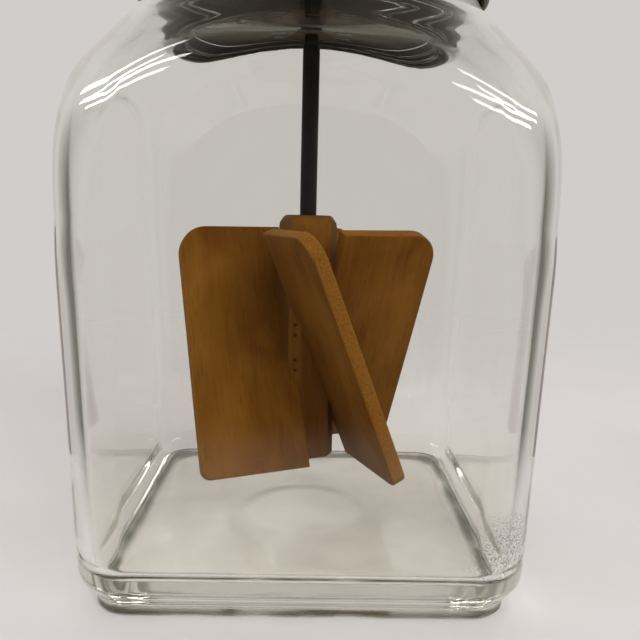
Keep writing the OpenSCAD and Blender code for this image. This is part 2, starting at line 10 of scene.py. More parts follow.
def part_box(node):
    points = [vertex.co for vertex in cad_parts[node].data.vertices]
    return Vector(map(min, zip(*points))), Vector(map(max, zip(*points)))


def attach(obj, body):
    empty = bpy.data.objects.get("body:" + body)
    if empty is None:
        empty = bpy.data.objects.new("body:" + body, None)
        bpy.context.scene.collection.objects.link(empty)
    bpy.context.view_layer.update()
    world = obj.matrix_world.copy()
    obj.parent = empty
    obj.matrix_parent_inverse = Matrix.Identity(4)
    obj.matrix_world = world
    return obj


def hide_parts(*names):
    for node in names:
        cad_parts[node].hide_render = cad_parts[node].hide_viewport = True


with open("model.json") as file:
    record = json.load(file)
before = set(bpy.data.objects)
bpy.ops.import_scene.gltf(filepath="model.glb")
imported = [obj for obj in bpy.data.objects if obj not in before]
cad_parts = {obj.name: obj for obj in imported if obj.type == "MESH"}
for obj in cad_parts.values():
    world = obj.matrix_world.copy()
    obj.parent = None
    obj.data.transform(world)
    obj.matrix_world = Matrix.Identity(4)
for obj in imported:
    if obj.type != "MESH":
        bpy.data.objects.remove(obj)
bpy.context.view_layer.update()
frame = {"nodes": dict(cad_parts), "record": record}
MM = 0.001

# Jar, in millimetres: the same sizes as the solids. CORNER_C places the centres of the round corners
CORNER_C = 56.6
CORNER_R = 18.4
LEAN = math.tan(math.radians(2.1))
GLASS_T = 5.0
FLOOR_Z = 11.6
FOOT_R = 12.9
FOOT_Z = 4.0
HEEL_Z = 13.0
UNDER_IN = 1.6
KICK = 0.8
KICK_RAMP = 0.1
MARK_R = 27.0
MARK_H = 0.35
MARK_RAMP = 6
SHOULDER_Z = 129.0
SHOULDER_R = 80.0
SHOULDER_TURN = math.radians(44)
NECK_R = 61.3
BORE_R = NECK_R - GLASS_T
NECK_Z = 205.306
RIM_Z = 229.306
RIM_ROUND = 2.0
RIM_IN_ROUND = 1.5
THREAD_Z = NECK_Z + 7
THREAD_PITCH = 6.4
THREAD_TURNS = 1.2
THREAD_FADE = 0.04
THREAD_H = 1.5
THREAD_W = 2.4
DOME_OUT = 0.6
DOME_SLOPE = 0.3
DOME_C = math.sqrt(2) * CORNER_C + CORNER_R + SHOULDER_Z * LEAN + DOME_OUT - SHOULDER_R

# Softness of the pressed glass, in millimetres: fillets, widths of blends, added thickness, waves
FLOOR_FILLET = 8.0
EDGE_SOFT = 8.0
FACE_SOFT = -5.0
INNER_SOFT = 0.5
NECK_SOFT = 5.0
INNER_NECK_SOFT = 12.0
SHOULDER_GAIN = 1.0
FACE_GAIN = 0.6
OUTER_WAVE = {"r": 60, "size": 40, "depth": 0.04}
INNER_WAVE = {"r": 50, "size": 34, "depth": 0.08}
FLOOR_WAVE = {"size": 20, "depth": 0.3}
WAVE_SHIFT = 300

# Steps of the jar's mesh
CORNER_STEPS = 36
FACE_STEPS = 28
ROUND_STEPS = 8
RIM_IN_STEPS = 6

# Glass, in metres: the heights where each band of painted shade at the foot ends, and where the dried specks are
CONTACT_SHADOW_Z = (0.0002, 0.0006)
UNDER_SHADE_Z = (0.0009, 0.0011)
FOOT_SHADE_Z = (0.0016, 0.0042)
CONTACT_SHADOW_TINT_Z = (0.0004, 0.0007)
SPECK_TINT_Z = (0.004, 0.005)
FLOOR_END_Z = (0.015, 0.02)
SPECKS_AT = (0.0655, -0.067, 0.025)
SPECKS_R = (0.005, 0.016)
# Light that is mirrored inside the glass more often than this leaves it, in the floor and in the walls
FLOOR_MIRRORS = 2.5
WALL_MIRRORS = 3.5

# Dasher, in millimetres; the hub's ends are pairs of a share of its width and a distance from the end
BLADE_TURN = math.radians(23.3)
BLADE_LEAN = math.radians(22.4)
BLADE_Z = 79.0
BLADE_IN = 6.0
BLADE_REACH = 48.0
BLADE_H = 98.0
BLADE_T = 5.5
BLADE_TOP_R = 11.0
BLADE_LOW_R = 4.0
BLADE_EASE = 0.8
BLADE_SHARP = math.radians(40)
HUB_HALF = 10.0
HUB_CUT = 6.0
HUB_SHARP = math.radians(30)
HUB_LOW = ((0.92, 0), (0.98, 0.3), (1, 1))
HUB_TOP = ((1, 6), (0.97, 3), (0.85, 0.8), (0.75, 0))

# Head, in millimetres
LID_T = 0.8
LID_BEAD = 1.05
BAND_LOW = 5.5
BAND_TOP = 6.5
BAND_SINK = 0.3
BAND_PROUD = 0.1
KNURLS = 150
KNURL_H = 0.6
KNURL_END = 1.0
KNURL_SHAPE = (0.15, 0.7, 1.0, 0.7)
LID_RING_R = 59.0
LID_RING_SINK = 0.35
LID_RING_STEPS = 96
WIRE_R = 0.9
WIRE_STEPS = 16
EASE = 0.5
EASE_ANGLE = math.radians(35)
SOFT_NODES = ("gear_frame", "drive_wheel", "crank_arm", "crank_nut", "axle_nut", "grip_nut", "pinion")
# Radii in metres between which the lid's underside stops counting as its inside, where shade is painted
LID_INSIDE_R = (0.0625, 0.0635)

# Camera, fitted to the photograph: degrees, millimetres
CAMERA_PITCH = 8.99
CAMERA_ROLL = 1.27
CAMERA_YAW = -0.88
CAMERA_AT = (1.2, -284.1, 133.1)
CAMERA_LENS = 39.83
CAMERA_NEAR = 10

# Studio, in metres and watts: two pairs of ceiling tubes, each from one end to the other, and a fill lamp
TUBE_Z = 1.8
TUBE_W = 0.1
TUBE_POWER = 10
TUBE_AIM = (0, 0, 0.15)
TUBES = [((-2.7, 1.73), (-1.05, -0.65)), ((-3.03, 1.5), (-1.38, -0.88)),
         ((1.5, -1.4), (3.0, 1.45)), ((1.9, -1.6), (3.4, 1.25))]
FILL_POWER = 28
FILL_PLACE = (0.9, -1.5, 1.5)
FILL_AIM = (0, 0, 0.1)
FILL_SIZE = (1.5, 1.0)
BOUNCES = 48
CLEAR_BOUNCES = 16

# Paper under the churn: half its width and its height in millimetres, and the radii in metres where it fades
PAPER_HALF = 3000
PAPER_Z = -0.3
PAPER_FADE = (0.3, 0.7)
PAPER_MIRROR_FADE = (0.11, 0.25)


def colour(code):
    """A linear colour from an sRGB code such as 8a5a2b."""
    parts = [int(code[i:i + 2], 16) / 255 for i in (0, 2, 4)]
    return [p / 12.92 if p <= 0.04045 else ((p + 0.055) / 1.055) ** 2.4 for p in parts] + [1]


class Nodes:
    """A node tree under construction, whose nodes are made and joined by short calls."""

    def __init__(self, tree):
        self.tree = tree

    def node(self, kind, inputs=None, **settings):
        made = self.tree.nodes.new("ShaderNode" + kind)
        for key, value in settings.items():
            setattr(made, key, value)
        for key, value in (inputs or {}).items():
            self.feed(made.inputs[key], value)
        return made

    def feed(self, socket, value):
        if isinstance(value, bpy.types.NodeSocket):
            self.tree.links.new(value, socket)
        else:
            socket.default_value = value

    def mix(self, factor, first, second, blend="MIX"):
        return self.node("Mix", {0: factor, 6: first, 7: second}, data_type="RGBA", blend_type=blend).outputs[2]

    def spread(self, value, low, high, to_low=0.0, to_high=1.0):
        """Takes the values from low to high to those from to_low to to_high, and no further."""
        inputs = {0: value, 1: low, 2: high, 3: to_low, 4: to_high}
        return self.node("MapRange", inputs).outputs[0]

    def math(self, operation, first, second=0.0):
        return self.node("Math", {0: first, 1: second}, operation=operation).outputs[0]

    def vector(self, operation, first, second=(0, 0, 0), output="Value"):
        return self.node("VectorMath", {0: first, 1: second}, operation=operation).outputs[output]

    def parts(self, vector):
        return tuple(self.node("SeparateXYZ", {0: vector}).outputs)

    def mirrored_once(self, path):
        """One for light that has been mirrored just once."""
        return self.node("Math", {0: path.outputs["Glossy Depth"], 1: 1.0, 2: 0.5}, operation="COMPARE").outputs[0]


class Paint(Nodes):
    """A material under construction."""

    def __init__(self, name, **sockets):
        self.material = bpy.data.materials.new(name)
        self.material.use_nodes = True
        super().__init__(self.material.node_tree)
        self.shader = self.tree.nodes["Principled BSDF"]
        self.output = self.tree.nodes["Material Output"]
        place = self.node("TexCoord")
        self.coords = place.outputs["Object"]
        self.normal = place.outputs["Normal"]
        for key, value in sockets.items():
            self.shader.inputs[key.replace("_", " ")].default_value = value

    def set(self, name, value):
        self.feed(self.shader.inputs[name], value)

    def noise(self, scale, detail=3, stretch=(1, 1, 1), distortion=0):
        place = self.node("Mapping", {"Vector": self.coords, "Scale": stretch})
        inputs = {"Vector": place.outputs[0], "Scale": scale, "Detail": detail, "Distortion": distortion}
        return self.node("TexNoise", inputs).outputs[0]

    def ramp(self, factor, *stops):
        made = self.node("ValToRGB", {"Fac": factor})
        elements = made.color_ramp.elements
        while len(elements) < len(stops):
            elements.new(0.5)
        for element, (position, value) in zip(elements, stops):
            element.position = position
            element.color = value
        return made.outputs[0]

    def blend(self, factor, first, second):
        return self.node("MixShader", {0: factor, 1: first, 2: second}).outputs[0]

    def bump(self, height, distance):
        made = self.node("Bump", {"Height": height, "Distance": distance})
        self.set("Normal", made.outputs[0])


def glass_shade_and_specks(paint, height, up):
    """How much painted shade and dirt cover the glass, and their colour: painted shade under the foot and on its
    side, and dried specks.
    """
    side = paint.spread(paint.math("ABSOLUTE", up), 0.3, 0.6, 1.0, 0.0)
    # Painted contact shadow round the foot's bottom, and painted shade on the underside and on the foot's side; the
    # specks are dirt
    contact_shadow = paint.spread(height, *CONTACT_SHADOW_Z, 0.85, 0.0)
    under_shade = paint.spread(height, *UNDER_SHADE_Z, 0.14, 0.0)
    contact_shade = paint.math("MULTIPLY", paint.math("MAXIMUM", contact_shadow, under_shade),
                      paint.spread(paint.noise(45, 3), 0.35, 0.6, 0.3, 1.0))
    foot_shade = paint.math("MULTIPLY", side, paint.spread(height, *FOOT_SHADE_Z, 0.6, 0.0))
    foot_shade = paint.math("MULTIPLY", foot_shade, paint.spread(paint.noise(24, 2), 0.35, 0.6, 0.4, 1.0))
    off = paint.vector("DISTANCE", paint.coords, SPECKS_AT)
    specks = paint.math("MULTIPLY", paint.spread(off, *SPECKS_R, 0.7, 0.0),
                        paint.spread(paint.noise(1900, 2), 0.55, 0.62))
    shade_and_speck_amount = paint.math("MAXIMUM", paint.math("MAXIMUM", contact_shade, foot_shade), specks)
    # Dark olive for the painted shade at the foot, paler grey on the underside, and grey for the specks higher up
    shade_and_speck_tint = paint.mix(side, colour("a8a398"), colour("45452f"))
    shade_and_speck_tint = paint.mix(paint.spread(height, *CONTACT_SHADOW_TINT_Z), colour("45452f"), shade_and_speck_tint)
    shade_and_speck_tint = paint.mix(paint.spread(height, *SPECK_TINT_Z), shade_and_speck_tint, colour("5c574c"))
    return shade_and_speck_amount, shade_and_speck_tint


def glass_paint():
    """Clear glass with a faint tint and smears, dull on the floor, that lets shadow rays and trapped light pass."""
    paint = Paint("clear_glass", Base_Color=(1, 0.998, 0.972, 1), IOR=1.5, Transmission_Weight=1.0)
    height = paint.parts(paint.coords)[2]
    up = paint.parts(paint.normal)[2]
    smear = paint.noise(28, 4, (1, 1, 0.5), 0.6)
    dull = paint.math("MULTIPLY", paint.spread(up, 0.7, 0.95), paint.spread(smear, 0.3, 0.6, 0.07, 0.16))
    paint.set("Roughness", paint.math("ADD", paint.spread(smear, 0.52, 0.8, 0.0, 0.05), dull))
    path = paint.node("LightPath")
    limit = paint.spread(height, *FLOOR_END_Z, FLOOR_MIRRORS, WALL_MIRRORS)
    trapped = paint.math("GREATER_THAN", path.outputs["Glossy Depth"], limit)
    passing = paint.math("MAXIMUM", path.outputs["Is Shadow Ray"], trapped)
    clear = paint.node("BsdfTransparent", {"Color": (0.945, 0.94, 0.925, 1)})
    surface = paint.blend(passing, paint.shader.outputs[0], clear.outputs[0])
    # A diffuse coat over the glass: painted shade round the foot, and dried specks of dirt
    shade_and_speck_amount, shade_and_speck_tint = glass_shade_and_specks(paint, height, up)
    shade_and_speck_paint = paint.node("BsdfDiffuse", {"Color": shade_and_speck_tint})
    paint.feed(paint.output.inputs["Surface"], paint.blend(shade_and_speck_amount, surface, shade_and_speck_paint.outputs[0]))
    depth = paint.node("VolumeAbsorption", {"Color": (0.62, 0.6, 0.45, 1), "Density": 3.0})
    paint.feed(paint.output.inputs["Volume"], depth.outputs[0])
    return paint.material


def wood_paint(name, dark, middle, light, edge, stretch, roughness, shine, figure=1.0, clouds=0.0):
    """Wood with grain along the least stretched axis; faces that don't look along local Y are a board's edges.

    figure is the strength of the grain, and clouds that of the wood's broad light and dark patches.
    """
    paint = Paint(name, Specular_IOR_Level=shine)
    grain = paint.noise(650, 4, stretch, 0.25)
    fibre = paint.noise(1900, 2, stretch)
    stain = paint.noise(20, 3, (1, 1, 0.6), 0.4)
    body = paint.mix(figure, middle, paint.ramp(grain, (0.1, dark), (0.5, middle), (0.95, light)))
    body = paint.mix(paint.spread(stain, 0.4, 0.7, 0.0, 0.4), body, dark)
    if clouds:
        cloud = paint.noise(38, 5, (1, 1, 0.7), 0.9)
        body = paint.mix(paint.spread(cloud, 0.5, 0.72, 0.0, clouds), body, light)
        body = paint.mix(paint.spread(cloud, 0.48, 0.3, 0.0, clouds), body, dark)
    body = paint.mix(paint.spread(fibre, 0.58, 0.72, 0.0, 0.35), body, dark, "MULTIPLY")
    facing = paint.math("ABSOLUTE", paint.parts(paint.normal)[1])
    speck = paint.spread(paint.noise(1400, 2), 0.35, 0.7, 0.0, 0.6)
    ends = paint.mix(speck, edge, dark)
    paint.set("Base Color", paint.mix(paint.spread(facing, 0.55, 0.85), ends, body))
    paint.set("Roughness", paint.spread(stain, 0.3, 0.7, roughness, roughness + 0.18))
    paint.bump(paint.math("ADD", paint.math("MULTIPLY", grain, 0.6), fibre), 0.00012)
    return paint.material


def cap_shade_mask(paint):
    """One on the faces of a cap that look at its axis, and on its underside, where its shade is painted; nothing
    elsewhere.
    """
    level = paint.vector("MULTIPLY", paint.coords, (1, 1, 0), "Vector")
    inward = paint.vector("DOT_PRODUCT", paint.normal, level)
    under_shade = paint.math("MULTIPLY", paint.spread(paint.parts(paint.normal)[2], -0.8, -0.3, 1.0, 0.0),
                       paint.spread(paint.vector("LENGTH", level), *LID_INSIDE_R, 1.0, 0.0))
    return paint.math("MAXIMUM", paint.spread(inward, -0.01, -0.002, 1.0, 0.0), under_shade)


def metal_paint(name, base, worn, metallic, roughness, pits, streak=(1, 1, 1), shine=0.5, inside=None):
    """Metal with a patchy skin: worn patches and edges are lighter, and pits roughen it.

    inside is the colour of the painted shade, with an olive stain, on a cap's inside and underside, where it
    differs.
    """
    paint = Paint(name, Metallic=metallic, Specular_IOR_Level=shine)
    patch = paint.noise(55, 4, streak, 0.3)
    grit = paint.noise(900, 3, streak)
    rubbed = paint.math("MULTIPLY", paint.spread(patch, 0.5, 0.75), paint.spread(grit, 0.4, 0.6, 0.2, 1.0))
    edge = paint.spread(paint.node("NewGeometry").outputs["Pointiness"], 0.52, 0.6, 0.0, 0.7)
    skin = paint.mix(paint.math("MAXIMUM", rubbed, edge), base, worn)
    if inside:
        # Painted shade, with an olive stain, on the cap's inside and underside
        inside_shade = paint.mix(paint.spread(patch, 0.4, 0.8, 0.0, 0.5), inside, base)
        skin = paint.mix(cap_shade_mask(paint), skin, inside_shade)
    paint.set("Base Color", skin)
    paint.set("Roughness", paint.spread(grit, 0.3, 0.7, roughness - 0.08, roughness + 0.12))
    paint.bump(grit, pits)
    return paint.material


def rubber_paint():
    paint = Paint("seal_rubber")
    grit = paint.noise(1200, 3)
    paint.set("Base Color", paint.mix(paint.noise(60, 3), colour("2c2b29"), colour("4a4846")))
    paint.set("Roughness", paint.spread(grit, 0.3, 0.7, 0.7, 0.9))
    paint.bump(grit, 0.00008)
    return paint.material


DASHER_WOOD = wood_paint("dasher_wood", colour("583104"), colour("744a12"), colour("83571e"), colour("875a20"),
                         (1, 1, 0.06), 0.6, 0.12, 0.45, 0.7)
# The hub's edge colour is darker than its grain, so its top, its bottom and the faces turned more towards X than Y
# come out darker
HUB_WOOD = wood_paint("hub_wood", colour("543106"), colour("714610"), colour("80541a"), colour("5a3b14"),
                      (1, 1, 0.06), 0.6, 0.12, 0.6, 0.3)
HANDLE_WOOD = wood_paint("handle_wood", colour("3d1508"), colour("6b2c14"), colour("8a431f"), colour("6b2c14"),
                         (1, 1, 0.08), 0.22, 0.5)
KNOB_WOOD = wood_paint("knob_wood", colour("3d1508"), colour("6b2c14"), colour("8a431f"), colour("6b2c14"),
                       (1, 0.08, 1), 0.22, 0.5)
IRON = metal_paint("black_iron", colour("1c1b1b"), colour("4a4744"), 0.2, 0.5, 0.00018)
ROD = metal_paint("shaft_iron", colour("100f0f"), colour("262422"), 0.0, 0.5, 0.00025, (1, 1, 0.3), 0.12)
NAIL = metal_paint("rusted_nails", colour("2a1a0c"), colour("4a3219"), 0.0, 0.7, 0.0001, shine=0.1)
STEEL = metal_paint("dulled_steel", colour("77777a"), colour("a9a8a4"), 0.6, 0.38, 0.00006)
# The lid's inside colour 4d411a is painted shade, darker and olive, on its inside faces and underside
TIN = metal_paint("dull_tin", colour("6b6656"), colour("8b8675"), 0.35, 0.48, 0.00005, inside=colour("4d411a"))
BRASS = metal_paint("dull_brass", colour("8a7138"), colour("b5985a"), 0.6, 0.36, 0.00005)
RUBBER = rubber_paint()
GLASS = glass_paint()


def soft_min(a, b, width):
    """The lesser of two values, with a rounded change from one to the other."""
    h = max(width - abs(a - b), 0) / width
    return min(a, b) - h * h * width / 4


def part_way(value, low, high):
    """Nothing up to low, one from high on."""
    return min(max((value - low) / (high - low), 0), 1)


def square_reach(angle, r):
    """Distance from the axis to a round-cornered square whose corner circles have radius r."""
    a = abs((angle + math.pi / 4) % (math.pi / 2) - math.pi / 4)
    flat = (CORNER_C + r) / math.cos(a)
    if flat * math.sin(a) <= CORNER_C:
        return flat
    d = CORNER_C * (math.cos(a) + math.sin(a))
    return d + math.sqrt(max(d * d - 2 * CORNER_C ** 2 + r * r, 0))


def face_share(angle):
    """One at the middle of a face, and nothing at a corner."""
    return math.cos(2 * angle) ** 2


def edge_soft(angle):
    """Width of the blend from wall to shoulder: wide at the corners and narrow on the faces."""
    return EDGE_SOFT + FACE_SOFT * face_share(angle)


def dome_reach(z, inset):
    """Radius of the round shoulder at a height: an arc, then a straight slope."""
    r = SHOULDER_R - inset
    rise = z - SHOULDER_Z
    arc_rise = r * math.sin(SHOULDER_TURN)
    if rise <= 0:
        return DOME_C + r - DOME_SLOPE * rise
    if rise < arc_rise:
        return DOME_C + math.sqrt(r * r - rise * rise)
    return DOME_C + r * math.cos(SHOULDER_TURN) - (rise - arc_rise) * math.tan(SHOULDER_TURN)


def thread_bump(angle, z):
    """How far the screw ridge stands out of the neck."""
    turn = angle / (2 * math.pi) % 1
    best = 0
    for lap in range(2):
        along = turn + lap
        fade = min(along, THREAD_TURNS - along) / THREAD_FADE
        off = abs(z - THREAD_Z - THREAD_PITCH * along) / (THREAD_W / 2)
        if fade > 0 and off < 1:
            best = max(best, min(fade, 1) * THREAD_H * min(1, 2 * (1 - off)))
    return best


def wave(angle, z, r, size, depth):
    """Slight unevenness of pressed glass."""
    return depth * noise.noise(Vector((r * math.cos(angle), r * math.sin(angle), z)) / size)


def outer_wall(angle, z, r):
    """Reach of the outside at a height, where r is the corner radius there."""
    reach = soft_min(square_reach(angle, r), dome_reach(z, 0), edge_soft(angle))
    if z > SHOULDER_Z:
        reach = -soft_min(-reach, -NECK_R, NECK_SOFT)
    return reach + wave(angle, z, **OUTER_WAVE)


def inner_wall(angle, z, r):
    """Reach of the inside at a height; the glass thickens towards the neck."""
    gain = SHOULDER_GAIN + FACE_GAIN * face_share(angle)
    inset = GLASS_T + part_way(z, SHOULDER_Z, NECK_Z) * gain
    reach = soft_min(square_reach(angle, r), dome_reach(z, inset), edge_soft(angle) + INNER_SOFT)
    if z > SHOULDER_Z:
        reach = -soft_min(-reach, -BORE_R, INNER_NECK_SOFT)
    return reach + wave(angle, z + WAVE_SHIFT, **INNER_WAVE)


def corner_cut(points, rounds=3):
    """Rounds the corners of an open line of points."""
    for _ in range(rounds):
        cut = [points[0]]
        for a, b in zip(points, points[1:]):
            cut += [tuple(p + (q - p) * share for p, q in zip(a, b)) for share in (0.25, 0.75)]
        points = cut + [points[-1]]
    return points


def steps(low, high, size):
    """Values from low to high, about one size apart."""
    count = max(1, round((high - low) / size))
    return [low + (high - low) * i / count for i in range(count + 1)]


def quarter_turns(count):
    return [math.pi / 2 * i / count for i in range(count + 1)]


def wall_angles():
    """Angles about the axis, close together at the corners."""
    edge = math.atan2(CORNER_C, CORNER_C + CORNER_R)
    quarter = [-edge + 2 * edge * i / CORNER_STEPS for i in range(CORNER_STEPS)]
    quarter += [edge + (math.pi / 2 - 2 * edge) * i / FACE_STEPS for i in range(FACE_STEPS)]
    return [a + math.pi / 2 * k for k in range(4) for a in quarter]


def body_r(z):
    """Corner radius of the leaning walls at a height."""
    return CORNER_R + z * LEAN


def flat_reach(share, r):
    """Reach of a ring on a flat floor: round near the middle, and square near the edge."""
    square = part_way(share, 0.45, 0.85)
    return lambda a: share * ((1 - square) * (CORNER_C + r) + square * square_reach(a, r))


def jar_rings(angles):
    """Rings of points from the middle of the underside, up the outside, over the rim and down to the floor."""
    rings = []

    def level(reach):
        """Adds the ring whose radius and height at an angle are given by reach."""
        rings.append([(r * math.cos(a), r * math.sin(a), z) for a, (r, z) in ((a, reach(a)) for a in angles)])

    # Underside, foot and heel
    under_r = FOOT_R - UNDER_IN
    for share in steps(0.02, 0.97, 0.025):
        reach = flat_reach(share, under_r)
        mark = MARK_H * part_way(MARK_R - share * (CORNER_C + under_r), 0, MARK_RAMP)
        kick = KICK * min((1 - share) / KICK_RAMP, 1) + mark
        level(lambda a: (reach(a), kick))
    heel = corner_cut([(FOOT_R - 1.4, 0), (FOOT_R - 0.2, 0.3), (FOOT_R, 1.4), (FOOT_R, FOOT_Z),
                       (body_r(9.5) - 0.8, 9.5), (body_r(HEEL_Z), HEEL_Z), (body_r(20), 20)])
    for r, z in heel:
        level(lambda a: (outer_wall(a, z, r), z))
    # Walls, shoulder, neck and rim: rings lie closer together where the glass bends
    outside = steps(24, SHOULDER_Z - 12, 5) + steps(SHOULDER_Z - 10, NECK_Z + 1, 0.9)
    outside += steps(NECK_Z + 1.5, RIM_Z - RIM_ROUND - 0.4, 0.45)
    for z in outside:
        level(lambda a: (outer_wall(a, z, body_r(z)) + thread_bump(a, z), z))
    for turn in quarter_turns(ROUND_STEPS):
        level(lambda a: (NECK_R - RIM_ROUND * (1 - math.cos(turn)), RIM_Z - RIM_ROUND * (1 - math.sin(turn))))
    for turn in quarter_turns(RIM_IN_STEPS):
        level(lambda a: (BORE_R + RIM_IN_ROUND * (1 - math.sin(turn)), RIM_Z - RIM_IN_ROUND * (1 - math.cos(turn))))
    # Inside, down to the fillet and the floor
    inside = steps(FLOOR_Z + FLOOR_FILLET + 1, SHOULDER_Z - 2, 4) + steps(SHOULDER_Z, RIM_Z - 3, 1.1)
    for z in reversed(inside):
        level(lambda a: (inner_wall(a, z, body_r(z) - GLASS_T), z))
    fillet_r = body_r(FLOOR_Z + FLOOR_FILLET) - GLASS_T - FLOOR_FILLET
    for turn in quarter_turns(ROUND_STEPS):
        r = fillet_r + FLOOR_FILLET * math.cos(turn)
        z = FLOOR_Z + FLOOR_FILLET * (1 - math.sin(turn))
        level(lambda a: (inner_wall(a, z, r), z))
    for share in reversed(steps(0.03, 0.97, 0.035)):
        reach = flat_reach(share, fillet_r)
        level(lambda a: (reach(a), FLOOR_Z + wave(a, 0, reach(a), **FLOOR_WAVE)))
    return rings


def build_object(name, points, faces, material, smooth=True, place=Matrix.Identity(4)):
    """A mesh object from points in millimetres."""
    mesh = bpy.data.meshes.new(name)
    mesh.from_pydata([Vector(p) * MM for p in points], [], faces)
    work = bmesh.new()
    work.from_mesh(mesh)
    bmesh.ops.recalc_face_normals(work, faces=work.faces)
    work.to_mesh(mesh)
    work.free()
    mesh.materials.append(material)
    if smooth:
        mesh.shade_smooth()
    made = bpy.data.objects.new(name, mesh)
    made.matrix_world = place
    bpy.context.scene.collection.objects.link(made)
    return made


def ring_object(name, rings, material):
    """A closed skin over rings of equal length, with a fan at each end."""
    n = len(rings[0])
    points = [p for ring in rings for p in ring]
    faces = [(k * n + i, k * n + (i + 1) % n, (k + 1) * n + (i + 1) % n, (k + 1) * n + i)
             for k in range(len(rings) - 1) for i in range(n)]
    for ring, base in ((rings[0], 0), (rings[-1], (len(rings) - 1) * n)):
        points.append(tuple(sum(axis) / n for axis in zip(*ring)))
        faces += [(base + i, base + (i + 1) % n, len(points) - 1) for i in range(n)]
    return build_object(name, points, faces, material)


def loop_object(name, rings, material):
    """A closed skin over closed rings of equal length that go round the axis."""
    n, count = len(rings[0]), len(rings)
    points = [p for ring in rings for p in ring]
    faces = [(k * n + i, k * n + (i + 1) % n, (k + 1) % count * n + (i + 1) % n, (k + 1) % count * n + i)
             for k in range(count) for i in range(n)]
    return build_object(name, points, faces, material)


def dress(piece, body, slot, *nodes):
    """Puts a piece on a body in place of the frame's nodes."""
    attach(piece, body)
    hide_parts(*nodes)


def make_jar():
    jar = ring_object("glass_jar", jar_rings(wall_angles()), GLASS)
    dress(jar, "jar", "glass", "jar", "jar_shoulder", "jar_neck")


def arc(x, z, r, start, end, count=8):
    """Points on an arc, between two angles in degrees."""
    turns = [math.radians(start + (end - start) * i / count) for i in range(count + 1)]
    return [(x + r * math.cos(t), z + r * math.sin(t)) for t in turns]


def board(name, outline, thickness, place, round_edge):
    """A board in the local XZ plane with eased edges."""
    half = thickness / 2
    n = len(outline)
    points = [(x, -half, z) for x, z in outline] + [(x, half, z) for x, z in outline]
    faces = [tuple(range(n)), tuple(range(2 * n - 1, n - 1, -1))]
    faces += [(i, (i + 1) % n, n + (i + 1) % n, n + i) for i in range(n)]
    made = build_object(name, points, faces, DASHER_WOOD, True, place)
    work = bmesh.new()
    work.from_mesh(made.data)
    rims = [e for e in work.edges if abs(e.verts[0].co.y - e.verts[1].co.y) < 1e-6]
    bmesh.ops.bevel(work, geom=rims, offset=round_edge * MM, segments=3, profile=0.5, affect="EDGES")
    work.to_mesh(made.data)
    work.free()
    made.data.shade_smooth()
    made.data.set_sharp_from_angle(angle=BLADE_SHARP)
    return made


def make_dasher():
    half = BLADE_H / 2
    outline = [(BLADE_IN, -half)]
    outline += arc(BLADE_REACH - BLADE_LOW_R, BLADE_LOW_R - half, BLADE_LOW_R, -90, 0)
    outline += arc(BLADE_REACH - BLADE_TOP_R, half - BLADE_TOP_R, BLADE_TOP_R, 0, 90)
    outline += [(BLADE_IN, half)]
    turns = [BLADE_TURN + math.pi / 2 * k for k in range(4)]
    for i, turn in enumerate(turns):
        place = Matrix.Rotation(turn, 4, "Z") @ Matrix.Translation((0, 0, BLADE_Z * MM))
        place = place @ Matrix.Rotation(BLADE_LEAN, 4, "X")
        blade = board(f"blade_{i + 1}", outline, BLADE_T, place, BLADE_EASE)
        dress(blade, "dasher", "dasher_wood", f"dasher_blade_{i + 1}")
    low, high = (v.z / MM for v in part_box("dasher_hub"))
    corners = [(x * math.cos(a) - y * math.sin(a), x * math.sin(a) + y * math.cos(a))
               for a in turns for x, y in ((HUB_HALF, HUB_CUT), (HUB_CUT, HUB_HALF))]
    levels = [(share, low + z) for share, z in HUB_LOW] + [(share, high - z) for share, z in HUB_TOP]
    hub = ring_object("hub_block", [[(x * s, y * s, z) for x, y in corners] for s, z in levels], HUB_WOOD)
    hub.data.set_sharp_from_angle(angle=HUB_SHARP)
    dress(hub, "dasher", "dasher_wood", "dasher_hub")


def make_lid_trim():
    """The knurled band round the lid's skirt and the ring pressed into its top."""
    low, high = (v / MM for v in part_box("lid"))
    skirt = high.x - 2 * LID_BEAD + LID_T
    band_low, band_high = low.z + BAND_LOW, high.z - BAND_TOP
    profile = [(band_low, -BAND_SINK, 0), (band_low, BAND_PROUD, 0), (band_low + KNURL_END, BAND_PROUD, 1),
               (band_high - KNURL_END, BAND_PROUD, 1), (band_high, BAND_PROUD, 0), (band_high, -BAND_SINK, 0)]
    count = KNURLS * len(KNURL_SHAPE)
    rings = []
    for i in range(count):
        turn = 2 * math.pi * i / count
        height = KNURL_H * KNURL_SHAPE[i % len(KNURL_SHAPE)]
        reach = [(skirt + proud + height * ribbed, z) for z, proud, ribbed in profile]
        rings.append([(r * math.cos(turn), r * math.sin(turn), z) for r, z in reach])
    band = loop_object("lid_knurl", rings, TIN)
    bead = arc(LID_RING_R, high.z - LID_RING_SINK, WIRE_R, 0, 360 - 360 / WIRE_STEPS, WIRE_STEPS - 1)
    turns = [2 * math.pi * i / LID_RING_STEPS for i in range(LID_RING_STEPS)]
    ring = loop_object("lid_ring", [[(r * math.cos(t), r * math.sin(t), z) for r, z in bead] for t in turns], TIN)
    for piece in (band, ring):
        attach(piece, "head")


def soften_edges():
    """Eased edges on the cast and turned pieces that stay as they are in the frame."""
    for node in SOFT_NODES:
        ease = frame["nodes"][node].modifiers.new("ease", "BEVEL")
        ease.width = EASE * MM
        ease.segments = 2
        ease.limit_method = "ANGLE"
        ease.angle_limit = EASE_ANGLE
        ease.use_clamp_overlap = True


